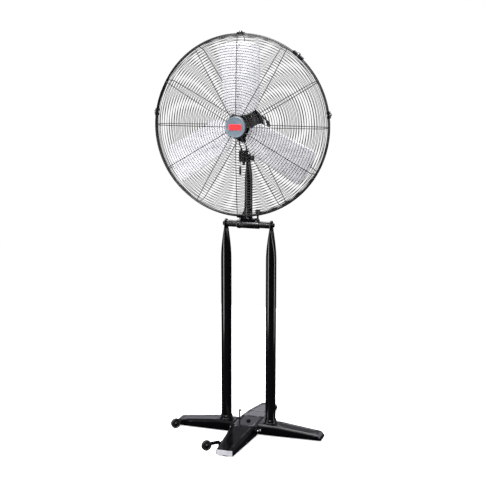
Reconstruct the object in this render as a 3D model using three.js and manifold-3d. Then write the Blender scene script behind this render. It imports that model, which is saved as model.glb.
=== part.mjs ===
// Industrial pedestal fan: a 750 mm three-blade rotor in a round wire cage, on a short neck that tilts
// on a crossbar between two tall posts. The base is a cross of pressed steel with two transport wheels.
// Units are millimetres, +Z is up and the fan blows towards -Y.
// The origin is on the floor under the crossbar.
import * as THREE from "three";
import { mergeVertices } from "three/addons/utils/BufferGeometryUtils.js";
import Module from "manifold-3d";

const wasm = await Module();
wasm.setup();

// ---------------------------------------------------------------- driving dimensions
const gap = 0.3; // air between pieces that bear on each other

const base = {
  reach: 362, // from the centre to the top edge of each leg's end
  splay: 18, // how much further out the bottom edge of a leg's end lies
  underside: 8,
  deckTop: 57, // flat top round the centre
  tipTop: 35, // top at the ends of the legs
  beamHalf: 63,
  beamTipHalf: 43,
  legHalf: 46,
  legTipHalf: 41,
  shoulder: 8, // bevel between the side walls and the top
  deckHalf: 74, // flat stretch of the long beam, each side of the centre
  legDeck: 158, // flat stretch of a side leg, from the centre
  rearWide: 190, // how far back the long beam stays broad
  rearHalf: 62, // its half width there
  sheet: 3,
};
const post = { x: 114, radius: 25.4, wall: 2, top: 1066, halfThick: 4.5, halfWide: 26 };
Object.assign(post, { pinchStart: 866, pinchEnd: 1026 });
const bar = { height: 1043, radius: 16.5, half: 109, bore: 13.5, endBore: 6.5 };
const sleeve = { left: -54, right: 54, radius: 20.5, bore: 17.1 };
const neck = { radius: 18.5, wall: 2.5, top: 1380, halfThick: 5.5, halfWide: 22 };
Object.assign(neck, { pinchStart: 1245, pinchEnd: 1345 });
const clamp = { x: 46, studRadius: 5, studTop: 1106, knobBottom: 1091, knobTop: 1116, knobRadius: 12 };
const tilt = { height: 1362, boltRadius: 5, cheekThick: 5, knobRadius: 13 };
const hubHeight = 1520;
const motor = { front: -88, caseFront: -62, caseBack: -2, back: 24 };
Object.assign(motor, { radius: 70, caseRoot: 62, caseFin: 67, bore: 57.5 });
const shaft = { radius: 8, front: -168, back: 17 };
const rotor = { rest: -2, hubRadius: 25, hubLong: 36, hubY: -138, armWide: 38, armThick: 5, armEnd: 154 };
const blade = { root: 50, rootBow: 36, tip: 383, halfRoot: 78, halfTip: 92, lean: 12 };
Object.assign(blade, { midY: -132, rise: 18, camber: 9, sheet: 2 });
const guard = { radius: 419, rimWire: 4.2, wire: 2.2, rimSpace: 4.5, spokes: 12 };
Object.assign(guard, { rimY: -117, knee: 404, kneeOut: 53 });
const badge = { radius: 48, faceY: -200, labelWide: 59, labelTall: 26 };
const endPlate = { half: 40, bottom: 9, top: 33, thick: 2 };
const wheel = { radius: 25, width: 14, height: 36, leftFar: 348, frontFar: 335, near: 98 };
// The back leg's lower edge lies as far out as the front end plate, so the stand's footprint is centred.
base.rearReach = base.reach + gap + endPlate.thick - base.splay;
const box = { left: -44, right: -17, half: 15, bottom: 1343, top: 1396, wall: 2 };

// ---------------------------------------------------------------- materials
const finish = (color, roughness, metalness) =>
  new THREE.MeshStandardMaterial({ color, roughness, metalness });
const blackPaint = finish(0x0b0b0d, 0.22, 0.1);
const motorPaint = finish(0x17181b, 0.4, 0.2);
const blackWire = finish(0x111113, 0.35, 0.3);
const zinc = finish(0xb9bcc0, 0.35, 0.9);
const aluminium = finish(0xc9cbd1, 0.35, 0.85);
const blackPlastic = finish(0x141416, 0.5, 0);
const rubber = finish(0x1a1a1b, 0.85, 0);
const badgePaint = finish(0x5f7275, 0.4, 0.3);
const labelRed = finish(0xd9262c, 0.4, 0);
const endWhite = finish(0xe4e5ea, 0.35, 0);
const copperCore = finish(0x9a6a3c, 0.5, 0.6);

// ---------------------------------------------------------------- shape helpers
// A closed surface as a manifold solid, turned outwards if its faces point in.
function solidOf(geometry) {
  const bare = geometry.index ? geometry.toNonIndexed() : geometry.clone();
  bare.deleteAttribute("normal");
  bare.deleteAttribute("uv");
  const merged = mergeVertices(bare, 1e-3);
  const corners = new Uint32Array(merged.index.array);
  const at = merged.attributes.position;
  const [a, b, c] = [new THREE.Vector3(), new THREE.Vector3(), new THREE.Vector3()];
  let volume = 0;
  for (let i = 0; i < corners.length; i += 3) {
    a.fromBufferAttribute(at, corners[i]);
    b.fromBufferAttribute(at, corners[i + 1]);
    c.fromBufferAttribute(at, corners[i + 2]);
    volume += a.dot(b.cross(c));
  }
  if (volume < 0) corners.reverse();
  return new wasm.Manifold(new wasm.Mesh({ numProp: 3, vertProperties: at.array, triVerts: corners }));
}

function geometryOf(solid) {
  const mesh = solid.getMesh();
  const geometry = new THREE.BufferGeometry();
  geometry.setAttribute("position", new THREE.BufferAttribute(new Float32Array(mesh.vertProperties), 3));
  geometry.setIndex(new THREE.BufferAttribute(new Uint32Array(mesh.triVerts), 1));
  geometry.computeVertexNormals();
  return geometry;
}

const joined = (...shapes) => geometryOf(shapes.map(solidOf).reduce((whole, next) => whole.add(next)));
const cut = (body, ...tools) =>
  geometryOf(tools.map(solidOf).reduce((whole, tool) => whole.subtract(tool), solidOf(body)));

const point = (x, y, z) => new THREE.Vector3(x, y, z);

// A block between two opposite corners.
function block([x0, y0, z0], [x1, y1, z1]) {
  const geometry = new THREE.BoxGeometry(x1 - x0, y1 - y0, z1 - z0);
  return geometry.translate((x0 + x1) / 2, (y0 + y1) / 2, (z0 + z1) / 2);
}

// A turned piece. Its profile is a list of [radius, distance along the axis].
function turned(profile, axis, sides) {
  const closed = profile[0][0] > 0 ? [...profile, profile[0]] : profile;
  const geometry = new THREE.LatheGeometry(closed.map(([r, along]) => new THREE.Vector2(r, along)), sides);
  if (axis === "x") geometry.rotateZ(-Math.PI / 2);
  if (axis === "z") geometry.rotateX(Math.PI / 2);
  return geometry;
}

// A solid disc or rod along an axis, and a ring with a bore.
const rod = (radius, from, to, axis, sides) =>
  turned([[0, from], [radius, from], [radius, to], [0, to]], axis, sides);
const ring = (inner, outer, from, to, axis, sides) =>
  turned([[inner, from], [outer, from], [outer, to], [inner, to]], axis, sides);

// A straight wire between two points.
function wire(from, to, radius, sides) {
  const along = to.clone().sub(from);
  const geometry = new THREE.CylinderGeometry(radius, radius, along.length(), sides);
  const turn = new THREE.Quaternion().setFromUnitVectors(point(0, 1, 0), along.clone().normalize());
  geometry.applyQuaternion(turn);
  const middle = from.clone().add(to).multiplyScalar(0.5);
  return geometry.translate(middle.x, middle.y, middle.z);
}

// A skin through rings that all have the same number of corners. A flat fan closes each end. Long thin
// rings, which run out along one side and back along the other, have strips that pair the two sides.
function loft(rings, thin = false) {
  const corners = [];
  const face = (...points) => points.forEach((p) => corners.push(p.x, p.y, p.z));
  const count = rings[0].length;
  for (let r = 0; r + 1 < rings.length; r += 1) {
    for (let i = 0; i < count; i += 1) {
      const j = (i + 1) % count;
      face(rings[r][i], rings[r][j], rings[r + 1][j]);
      face(rings[r][i], rings[r + 1][j], rings[r + 1][i]);
    }
  }
  const first = rings[0];
  const last = rings[rings.length - 1];
  for (let i = 1; i + 1 < count && !thin; i += 1) {
    face(first[0], first[i + 1], first[i]);
    face(last[0], last[i], last[i + 1]);
  }
  for (let i = 0; i + 1 < count / 2 && thin; i += 1) {
    const mate = count - 1 - i;
    face(first[i], first[mate - 1], first[i + 1]);
    face(first[i], first[mate], first[mate - 1]);
    face(last[i], last[i + 1], last[mate - 1]);
    face(last[i], last[mate - 1], last[mate]);
  }
  const geometry = new THREE.BufferGeometry();
  geometry.setAttribute("position", new THREE.Float32BufferAttribute(corners, 3));
  return geometry;
}

// A knob with round lobes, from one distance to another along +Z.
function lobedKnob(radius, from, to, lobes) {
  const outline = new THREE.Shape();
  const steps = lobes * 6;
  for (let i = 0; i < steps; i += 1) {
    const angle = (i / steps) * Math.PI * 2;
    const r = radius * (0.9 + 0.1 * Math.cos(angle * lobes));
    outline[i ? "lineTo" : "moveTo"](r * Math.cos(angle), r * Math.sin(angle));
  }
  return new THREE.ExtrudeGeometry(outline, { depth: to - from, bevelEnabled: false }).translate(0, 0, from);
}

const fan = new THREE.Group();

function add(name, geometry, material, parent = fan) {
  const mesh = new THREE.Mesh(geometryOf(solidOf(geometry)), material);
  mesh.name = name;
  parent.add(mesh);
  return mesh;
}

// ---------------------------------------------------------------- base
// One section across a leg that runs along +Y: level underside, upright walls, bevelled shoulders, flat top.
function legSection(y, half, top, inset, splay) {
  const low = base.underside - (inset ? 1 : 0);
  const high = top - inset;
  const side = half - inset;
  const shelf = side - base.shoulder - 1;
  const outline = [[-side, low], [side, low], [side, high - base.shoulder], [shelf, high]];
  outline.push([-shelf, high], [-side, high - base.shoulder]);
  return outline.map(([x, z]) => point(x, y + (splay * (high - z)) / (high - low), z));
}

// A pressed-steel channel, open below, along +Y through the given stations of [y, half width, top].
function channel(stations, startSplay, endSplay) {
  const skin = (inset) =>
    loft(
      stations.map(([y, half, top], i) => {
        const ends = i === 0 ? 1 : i === stations.length - 1 ? -1 : 0;
        const splay = ends === 1 ? startSplay : ends === -1 ? endSplay : 0;
        return legSection(y + ends * inset, half, top, inset, splay);
      }),
    );
  return cut(skin(0), skin(base.sheet));
}

function buildBase() {
  const { reach, rearReach, rearWide, rearHalf, splay, deckTop, tipTop } = base;
  const { deckHalf, legDeck, beamHalf, beamTipHalf, legHalf, legTipHalf } = base;
  const fallShare = (rearWide - deckHalf) / (rearReach - deckHalf);
  const beam = channel(
    [
      [-reach, beamTipHalf, tipTop],
      [-deckHalf, beamHalf, deckTop],
      [deckHalf, beamHalf, deckTop],
      [rearWide, rearHalf, deckTop + (tipTop - deckTop) * fallShare],
      [rearReach, beamTipHalf, tipTop],
    ],
    0,
    splay,
  );
  const boltHole = rod(6.5, deckTop - 10, deckTop + 10, "z", 16);
  add("base_beam", cut(beam, boltHole), blackPaint);

  const root = beamHalf + gap;
  const stations = [[root, legHalf, deckTop], [legDeck, legHalf, deckTop], [reach, legTipHalf, tipTop]];
  for (const [name, turn] of [["right_leg", -1], ["left_leg", 1]]) {
    add(name, channel(stations, 0, splay).rotateZ((turn * Math.PI) / 2), blackPaint);
  }

  const { half, bottom, top, thick } = endPlate;
  const plateY = -reach - gap;
  add("front_end_plate", block([-half, plateY - thick, bottom], [half, plateY, top]), endWhite);

  // Rubber feet stand on the floor under the four ends, each let up into its channel.
  const footCentre = reach - 22;
  const feet = { foot_front: [0, -footCentre], foot_rear: [0, rearReach - 22] };
  Object.assign(feet, { foot_left: [-footCentre, 0], foot_right: [footCentre, 0] });
  for (const [name, [x, y]] of Object.entries(feet)) {
    const foot = turned([[0, 0], [16, 0], [18, 3], [18, 7], [14, 30], [0, 30]], "z", 16);
    add(name, foot, rubber).position.set(x, y, 0);
  }

  const head = new THREE.CylinderGeometry(11, 11, 7, 6).rotateX(Math.PI / 2);
  head.translate(0, 0, deckTop + gap + 3.5);
  add("centre_bolt", joined(head, rod(6, deckTop - 16, deckTop + 2, "z", 16)), blackPaint);

  // A steel pin with a bent end stands on the deck, for hooking the cable out of the way.
  const pinPath = new THREE.CatmullRomCurve3([
    point(0, 0, deckTop + gap),
    point(0, 0, deckTop + 30),
    point(-1, 0, deckTop + 42),
    point(3, -2, deckTop + 49),
    point(9, -4, deckTop + 45),
  ]);
  const section = new THREE.Shape().absarc(0, 0, 2.6, 0, Math.PI * 2);
  const pin = new THREE.ExtrudeGeometry(section, { extrudePath: pinPath, steps: 9, curveSegments: 4 });
  const pinFoot = rod(7, deckTop + gap, deckTop + 5, "z", 16);
  add("hook_pin", joined(pin, pinFoot), blackPaint).position.set(-50, 12, 0);
}

function buildWheels() {
  // The two wheels hang clear of the floor, outside the corner between the front and the left leg.
  // Each entry is the wheel's place, which side of the arm the wall faces, and the wall's half width
  // and slack.
  const places = {
    left: [-wheel.leftFar, -wheel.near, 1, 42.7, 1],
    front: [-wheel.near, -wheel.frontFar, -1, 49.4, 2],
  };
  for (const [side, [x, y, mirror, wallHalf, wallSpace]] of Object.entries(places)) {
    // In this group +X points from the wheel to the leg, and -Y is the face that looks away from the arm.
    const corner = new THREE.Group();
    corner.position.set(x, y, wheel.height);
    corner.rotation.z = Math.PI / 4;
    fan.add(corner);

    const halfWidth = wheel.width / 2;
    const rim = ring(18, wheel.radius, -halfWidth, halfWidth, "y", 24);
    const hub = ring(5.3, 9, -halfWidth - 1, halfWidth, "y", 12);
    const spokes = [];
    for (let i = 0; i < 5; i += 1) {
      const angle = (i / 5) * Math.PI * 2;
      spokes.push(block([7, -4, -2.5], [19.5, 4, 2.5]).rotateY(angle));
    }
    add(`${side}_wheel`, joined(rim, hub, ...spokes), blackPlastic, corner);

    const armInner = halfWidth + 2;
    const armOuter = armInner + 5;
    const axle = joined(
      rod(5, -halfWidth - 4, armOuter + 4, "y", 12),
      rod(8, -halfWidth - 6, -halfWidth - 1 - gap - 0.5, "y", 12),
    );
    add(`${side}_wheel_axle`, axle, blackPaint, corner);

    // A flat arm with a round end, and a tab that lies flat against the leg's side wall. The wall is parallel
    // to a leg, so it crosses the arm at 45 degrees.
    const armMiddle = (armInner + armOuter) / 2;
    const reach = Math.SQRT2 * (wheel.near - wallHalf - wallSpace) - mirror * armMiddle;
    const armBlock = block([0, armInner, -8], [reach - 3, armOuter, 8]);
    const lying = block([-22, -3, -22], [22, 0, -2]);
    const tab = (mirror > 0 ? lying : lying.rotateZ(-Math.PI / 2)).rotateZ(-Math.PI / 4);
    tab.translate(reach, armMiddle, 0);
    const arm = joined(rod(11, armInner, armOuter, "y", 16), armBlock, tab);
    const bracket = cut(arm, rod(5.4, armInner - 12, armOuter + 2, "y", 12));
    add(`${side}_wheel_bracket`, bracket, blackPaint, corner);
  }
}

// ---------------------------------------------------------------- posts and crossbar
// A section of a round tube at one height, pressed flatter across X as pinch goes from 0 to 1.
function pinchedSection(z, radius, halfThick, halfWide, pinch) {
  const across = radius + (halfThick - radius) * pinch;
  const along = radius + (halfWide - radius) * pinch;
  const power = 1 - 0.55 * pinch;
  const corners = [];
  const sides = 16;
  for (let i = 0; i < sides; i += 1) {
    const angle = (i / sides) * Math.PI * 2;
    const c = Math.cos(angle);
    corners.push(point(across * Math.sign(c) * Math.abs(c) ** power, along * Math.sin(angle), z));
  }
  return corners;
}

// A tube from bottom to top whose upper end is pressed flat and rounded, and which is open at the bottom.
// It flattens slowly at first and then faster, up to the edge of the flat.
function pinchedTube(bottom, size) {
  const { radius, wall, pinchStart, pinchEnd, top, halfThick, halfWide } = size;
  const outer = [pinchedSection(bottom, radius, halfThick, halfWide, 0)];
  const inner = [pinchedSection(bottom - 1, radius - wall, halfThick - wall, halfWide - wall, 0)];
  const steps = 4;
  for (let i = 0; i <= steps; i += 1) {
    const z = pinchStart + ((pinchEnd - pinchStart) * i) / steps;
    const pinch = (i / steps) ** 2;
    outer.push(pinchedSection(z, radius, halfThick, halfWide, pinch));
    inner.push(pinchedSection(z, radius - wall, halfThick - wall, halfWide - wall, pinch));
  }
  for (const share of [0, 0.5, 0.8, 0.95]) {
    const z = top - halfWide * (1 - share) * 0.7;
    outer.push(pinchedSection(z, radius, halfThick, halfWide * Math.sqrt(1 - share * share), 1));
  }
  return cut(loft(outer), loft(inner));
}

function buildPosts() {
  const foot = base.deckTop + gap;
  for (const [side, sign] of [["left", -1], ["right", 1]]) {
    const hole = rod(6.6, -10, 10, "x", 20).translate(0, 0, bar.height);
    add(`${side}_post`, cut(pinchedTube(foot, post), hole), blackPaint).position.x = sign * post.x;

    // The flange that holds the post's foot, with four bolt heads.
    const bore = post.radius + gap;
    const flange = [ring(bore, 35, foot, foot + 5, "z", 24), ring(bore, bore + 4, foot, foot + 20, "z", 24)];
    for (let i = 0; i < 4; i += 1) {
      const angle = Math.PI / 4 + (i * Math.PI) / 2;
      const bolt = new THREE.CylinderGeometry(4.5, 4.5, 8, 6).rotateX(Math.PI / 2);
      flange.push(bolt.translate(31 * Math.cos(angle), 31 * Math.sin(angle), foot + 5));
    }
    add(`${side}_post_flange`, joined(...flange), blackPaint).position.x = sign * post.x;

    // The bolt that fixes the flattened post to the end of the crossbar.
    const face = post.x + post.halfThick + gap;
    const headShape = new THREE.CylinderGeometry(11, 11, 8, 6).rotateZ(Math.PI / 2);
    headShape.translate(face + 6, 0, 0);
    const washer = rod(14, face, face + 2.5, "x", 24);
    const bolt = joined(headShape, washer, rod(6, bar.half - 26, face + 1, "x", 20));
    const placed = add(`${side}_bar_bolt`, bolt, blackPaint);
    placed.rotation.z = sign < 0 ? Math.PI : 0;
    placed.position.z = bar.height;
  }
  const { half, radius, bore, endBore } = bar;
  const profile = [[endBore, -half], [radius, -half], [radius, half], [endBore, half], [endBore, half - 30]];
  profile.push([bore, half - 30], [bore, 30 - half], [endBore, 30 - half]);
  add("crossbar", turned(profile, "x", 24), blackPaint).position.z = bar.height;
}

// ---------------------------------------------------------------- neck
function buildNeck() {
  const { left, right, radius, bore } = sleeve;
  const profile = [[bore, left], [radius + 1.5, left], [radius + 1.5, left + 12], [radius - 1, left + 12]];
  profile.push([radius - 1, left + 15], [radius, left + 15], [radius, right], [bore, right]);
  add("pivot_sleeve", turned(profile, "x", 24), blackPaint).position.z = bar.height;

  // A saddle that wraps the top of the sleeve, with a gusset on its left.
  const saddleTop = bar.height + radius + 9;
  const gusset = new THREE.Shape([
    new THREE.Vector2(-38, saddleTop - 1),
    new THREE.Vector2(-neck.radius - gap - 0.2, saddleTop - 1),
    new THREE.Vector2(-neck.radius - gap - 0.2, saddleTop + 44),
  ]);
  const web = new THREE.ExtrudeGeometry(gusset, { depth: 6, bevelEnabled: false });
  web.rotateX(Math.PI / 2).translate(0, 3, 0);
  const body = joined(block([-38, -16, bar.height + 10], [36, 16, saddleTop]), web);
  const seat = rod(radius + 2 * gap, left - 1, right + 1, "x", 24).translate(0, 0, bar.height);
  add("neck_saddle", cut(body, seat), blackPaint);

  const boltHole = rod(tilt.boltRadius + 0.6, -12, 12, "x", 20).translate(0, 0, tilt.height);
  add("neck_tube", cut(pinchedTube(saddleTop + gap, neck), boltHole), blackPaint);

  const studFoot = bar.height + radius + gap;
  const stud = joined(
    rod(clamp.studRadius, studFoot, clamp.studTop, "z", 20),
    new THREE.CylinderGeometry(8.5, 8.5, 7, 6).rotateX(Math.PI / 2).translate(0, 0, studFoot + 3.5),
  );
  add("clamp_stud", stud, blackPaint).position.x = clamp.x;

  const knob = lobedKnob(clamp.knobRadius, clamp.knobBottom, clamp.knobTop, 5);
  const knobBore = rod(clamp.studRadius + 0.4, clamp.knobBottom - 1, clamp.studTop + 1, "z", 20);
  add("clamp_knob", cut(knob, knobBore), blackPlastic).position.x = clamp.x;
}

// ---------------------------------------------------------------- tilting head
function buildTiltBracket() {
  const innerFace = -neck.halfThick - 0.6;
  const outerFace = innerFace - tilt.cheekThick;
  const cheek = joined(
    block([outerFace, -13, tilt.height], [innerFace, 13, 1462]),
    rod(13, outerFace, innerFace, "x", 28).translate(0, 0, tilt.height),
  );
  const saddle = block([-38, -27, 1446], [38, 16, 1472]);
  const motorSpace = rod(motor.caseFin + 0.5, -60, 60, "y", 48).translate(0, 0, hubHeight);
  const boltHole = rod(tilt.boltRadius + 0.3, outerFace - 2, innerFace + 2, "x", 20);
  boltHole.translate(0, 0, tilt.height);
  add("tilt_bracket", cut(joined(cheek, saddle), motorSpace, boltHole), blackPaint);

  const boltEnd = neck.halfThick + 15;
  const head = new THREE.CylinderGeometry(9, 9, 6, 6).rotateZ(Math.PI / 2);
  head.translate(outerFace - gap - 3, 0, 0);
  const bolt = joined(head, rod(tilt.boltRadius, outerFace - 3, boltEnd, "x", 20));
  add("tilt_bolt", bolt, zinc).position.z = tilt.height;

  const knobFrom = neck.halfThick + 0.8;
  const knob = lobedKnob(tilt.knobRadius, knobFrom, knobFrom + 20, 5);
  const bore = rod(tilt.boltRadius + 0.4, knobFrom - 1, boltEnd + 1, "z", 20);
  add("tilt_knob", cut(knob, bore).rotateY(Math.PI / 2), blackPlastic).position.z = tilt.height;
}

function buildMotor(head) {
  const { front, caseFront, caseBack, back, radius, caseRoot, caseFin, bore } = motor;
  const shaftHole = shaft.radius + 1.2;
  const seat = 16.6;
  const frontBell = [[shaftHole, front], [radius - 7, front], [radius, front + 7], [radius, caseFront - gap]];
  frontBell.push([radius - 4, caseFront - gap], [radius - 4, front + 8], [seat + 4, front + 8]);
  frontBell.push([seat + 4, front + 22], [seat, front + 22], [seat, front + 6], [shaftHole, front + 6]);
  add("motor_front_bell", turned(frontBell, "y", 30), motorPaint, head);

  const backStart = caseBack + gap;
  const rearBell = [[0, back], [38, back], [56, back - 9], [66, back - 21], [66, backStart], [61, backStart]];
  rearBell.push([52, back - 12], [36, back - 5], [seat + 4, back - 5], [seat + 4, back - 20]);
  rearBell.push([seat, back - 20], [seat, back - 5], [0, back - 5]);
  add("motor_rear_bell", turned(rearBell, "y", 30), motorPaint, head);

  // The case has cooling fins along it.
  const outline = new THREE.Shape();
  const fins = 20;
  for (let i = 0; i < fins; i += 1) {
    const corners = [[0, caseRoot], [0.4, caseRoot], [0.5, caseFin], [0.9, caseFin]];
    corners.forEach(([share, r], k) => {
      const angle = ((i + share) / fins) * Math.PI * 2;
      outline[i + k ? "lineTo" : "moveTo"](r * Math.cos(angle), r * Math.sin(angle));
    });
  }
  outline.holes.push(new THREE.Path().absarc(0, 0, bore, 0, Math.PI * 2, true));
  const length = caseBack - caseFront;
  const shell = new THREE.ExtrudeGeometry(outline, { depth: length, bevelEnabled: false, curveSegments: 14 });
  add("motor_case", shell.rotateX(Math.PI / 2).translate(0, caseBack, 0), motorPaint, head);

  add("stator_core", ring(33, bore - gap - 0.2, caseFront + 8, caseBack - 8, "y", 24), copperCore, head);
  const race = shaft.radius + gap;
  add("front_bearing", ring(race, seat - gap, front + 7, front + 20, "y", 24), zinc, head);
  add("rear_bearing", ring(race, seat - gap, back - 18, back - 6, "y", 24), zinc, head);

  // A bent steel handle at the back right, for tilting the head by hand.
  const path = new THREE.CatmullRomCurve3([
    point(34, back + gap + 5, 34),
    point(58, back + 9, 36),
    point(76, back + 9, 20),
    point(93, back + 8, -9),
  ]);
  const section = new THREE.Shape().absarc(0, 0, 4.5, 0, Math.PI * 2);
  const arm = new THREE.ExtrudeGeometry(section, { extrudePath: path, steps: 8, curveSegments: 4 });
  const gripPoints = [path.getPoint(0.86), path.getPoint(1)];
  const grip = wire(gripPoints[0], gripPoints[1], 7.5, 12);
  const lug = rod(11, back + gap, back + gap + 7, "y", 20).translate(26, 0, 20);
  const strap = block([14, back + gap, 12], [42, back + gap + 8, 40]);
  add("tilt_handle", joined(arm, grip, lug, strap), blackPaint, head);
}

function buildRotor(head) {
  const spin = new THREE.Group();
  spin.rotation.y = (rotor.rest * Math.PI) / 180;
  head.add(spin);
  add("rotor_shaft", rod(shaft.radius, shaft.front, shaft.back, "y", 24), zinc, spin);
  const core = ring(shaft.radius + gap, 32, motor.caseFront + 10, motor.caseBack - 10, "y", 24);
  add("rotor_core", core, zinc, spin);

  // The spider is a hub with three flat arms, each lying close behind the middle of its blade.
  const { hubRadius, hubLong, hubY, armWide, armThick, armEnd } = rotor;
  const [hubFront, hubBack] = [hubY - hubLong / 2, hubY + hubLong / 2];
  const pieces = [ring(shaft.radius - 1, hubRadius, hubFront, hubBack, "y", 24)];
  const slope = (bladeDepth(1, 0) - bladeDepth(-1, 0)) / 2;
  const armY = bladeDepth(0, 0) + armThick / 2 + 1.1;
  for (let i = 0; i < 3; i += 1) {
    const arm = block([-armWide / 2, -armThick / 2, 18], [armWide / 2, armThick / 2, armEnd]);
    pieces.push(arm.rotateZ(Math.atan(slope)).translate(0, armY, 0).rotateY((i / 3) * Math.PI * 2));
  }
  const bore = rod(shaft.radius + gap, hubFront - 1, hubBack + 1, "y", 24);
  add("blade_spider", cut(joined(...pieces), bore), blackPaint, spin);

  for (let i = 0; i < 3; i += 1) {
    add(`blade_${i + 1}`, bladeSurface().rotateY((i / 3) * Math.PI * 2), aluminium, spin);
  }

  const seat = hubFront - 0.5;
  const nutHalf = [[0, seat - 24], [9, seat - 23], [13, seat - 16], [17, seat - 15], [17, seat], [0, seat]];
  const nut = turned(nutHalf, "y", 24);
  add("hub_nut", cut(nut, rod(shaft.radius + gap, shaft.front - 1, hubFront, "y", 24)), zinc, spin);
}

// How far along the shaft a blade's back lies, at x across its arm and a share of the way to its tip.
function bladeDepth(x, share) {
  const half = blade.halfRoot + (blade.halfTip - blade.halfRoot) * share;
  const across = (x - blade.lean) / half;
  return blade.midY + blade.rise * across - blade.camber * (1 - across * across);
}

// A paddle of sheet metal: bowed at the root, straight along both sides, and round at the tip.
function bladeSurface() {
  const rows = 8;
  const columns = 8;
  const skin = (lift) => {
    const grid = [];
    for (let i = 0; i <= rows; i += 1) {
      const share = i / rows;
      const half = blade.halfRoot + (blade.halfTip - blade.halfRoot) * share;
      const rowPoints = [];
      for (let j = 0; j <= columns; j += 1) {
        const across = (j / columns) * 2 - 1;
        const x = blade.lean + half * across;
        const start = blade.root + blade.rootBow * across * across;
        const end = Math.sqrt(blade.tip ** 2 - x ** 2);
        rowPoints.push(point(x, bladeDepth(x, share) + lift, start + (end - start) * share));
      }
      grid.push(rowPoints);
    }
    return grid;
  };
  const front = skin(-blade.sheet);
  const back = skin(0);
  const rings = front.map((frontRow, i) => [...frontRow, ...back[i].slice().reverse()]);
  return loft(rings, true);
}

// ---------------------------------------------------------------- guards
// One half of the cage: rings and spokes on a shallow dish, welded to a heavier rim. The centre is extra
// metal.
function cageHalf(direction, innerRadius, innerOut, ringRadii, centre) {
  const rimY = guard.rimY + direction * guard.rimSpace;
  const dish = (r) => {
    const share = (r - innerRadius) / (guard.knee - innerRadius);
    return guard.rimY + direction * (innerOut + (guard.kneeOut - innerOut) * share * share);
  };
  const hoop = (r, y, half, sides) => ring(r - half, r + half, y - half, y + half, "y", sides);
  const shapes = [centre, hoop(guard.radius, rimY, guard.rimWire * 0.85, 36)];
  for (const r of ringRadii) shapes.push(hoop(r, dish(r), guard.wire * 0.85, 24));
  const stops = [innerRadius, (innerRadius + guard.knee) / 2, guard.knee];
  for (let i = 0; i < guard.spokes; i += 1) {
    const angle = (i / guard.spokes) * Math.PI * 2;
    const at = (r, y) => point(r * Math.sin(angle), y, r * Math.cos(angle));
    const path = [...stops.map((r) => at(r, dish(r))), at(guard.radius, rimY)];
    for (let k = 0; k + 1 < path.length; k += 1) shapes.push(wire(path[k], path[k + 1], guard.wire, 4));
  }
  return joined(...shapes);
}

function buildGuards(head) {
  const ringRadii = [240, guard.knee];
  const plateY = badge.faceY + 6;
  const plate = rod(badge.radius - 2, plateY, plateY + 4, "y", 24);
  add("front_guard", cageHalf(-1, 40, guard.rimY - plateY - 2, ringRadii, plate), blackWire, head);

  // The back half ends in a ring that clasps the motor case behind its front bell.
  const ringY = -34;
  const clasp = ring(motor.caseFin + 0.9, 84, ringY - 3, ringY + 3, "y", 30);
  add("rear_guard", cageHalf(1, 82, ringY - guard.rimY, ringRadii, clasp), blackWire, head);

  add("badge_disc", rod(badge.radius, badge.faceY + 1, plateY - gap, "y", 36), badgePaint, head);
  const [wide, tall] = [badge.labelWide / 2, badge.labelTall / 2];
  const label = block([-wide, badge.faceY, -tall], [wide, badge.faceY + 1 - gap, tall]);
  add("badge_label", label, labelRed, head);
}

// A folded clip that holds the two rims together, with an ear for its screw and slots that clear the spokes.
function rimClip(length, spare) {
  const rimOuter = guard.radius + guard.rimWire + 0.6 + spare;
  const lip = guard.rimSpace + guard.rimWire + 0.8;
  const outer = lip + 3;
  const inner = block([-length, -lip, guard.radius - 20], [length, lip, rimOuter]);
  const body = block([-length / 2, -outer, guard.radius - 6], [length / 2, outer, rimOuter + 3]);
  const ear = block([-6, -6, rimOuter + 2], [6, 6, rimOuter + 9]);
  const slot = block([-4.5, -outer - 1, guard.radius - 20], [4.5, outer + 1, rimOuter]);
  return cut(joined(body, ear), inner, slot);
}

function buildClips(head) {
  const clips = { guard_clip_top: 0, guard_clip_right: 82, guard_clip_bottom: 180, guard_clip_left: 278 };
  for (const [name, degrees] of Object.entries(clips)) {
    const clip = rimClip(32, 0).rotateY((degrees * Math.PI) / 180).translate(0, guard.rimY, 0);
    add(name, clip, blackPaint, head);
  }
  const latch = rimClip(56, 1).rotateY((40 * Math.PI) / 180).translate(0, guard.rimY, 0);
  add("guard_latch", latch, blackPaint, head);
}

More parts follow.
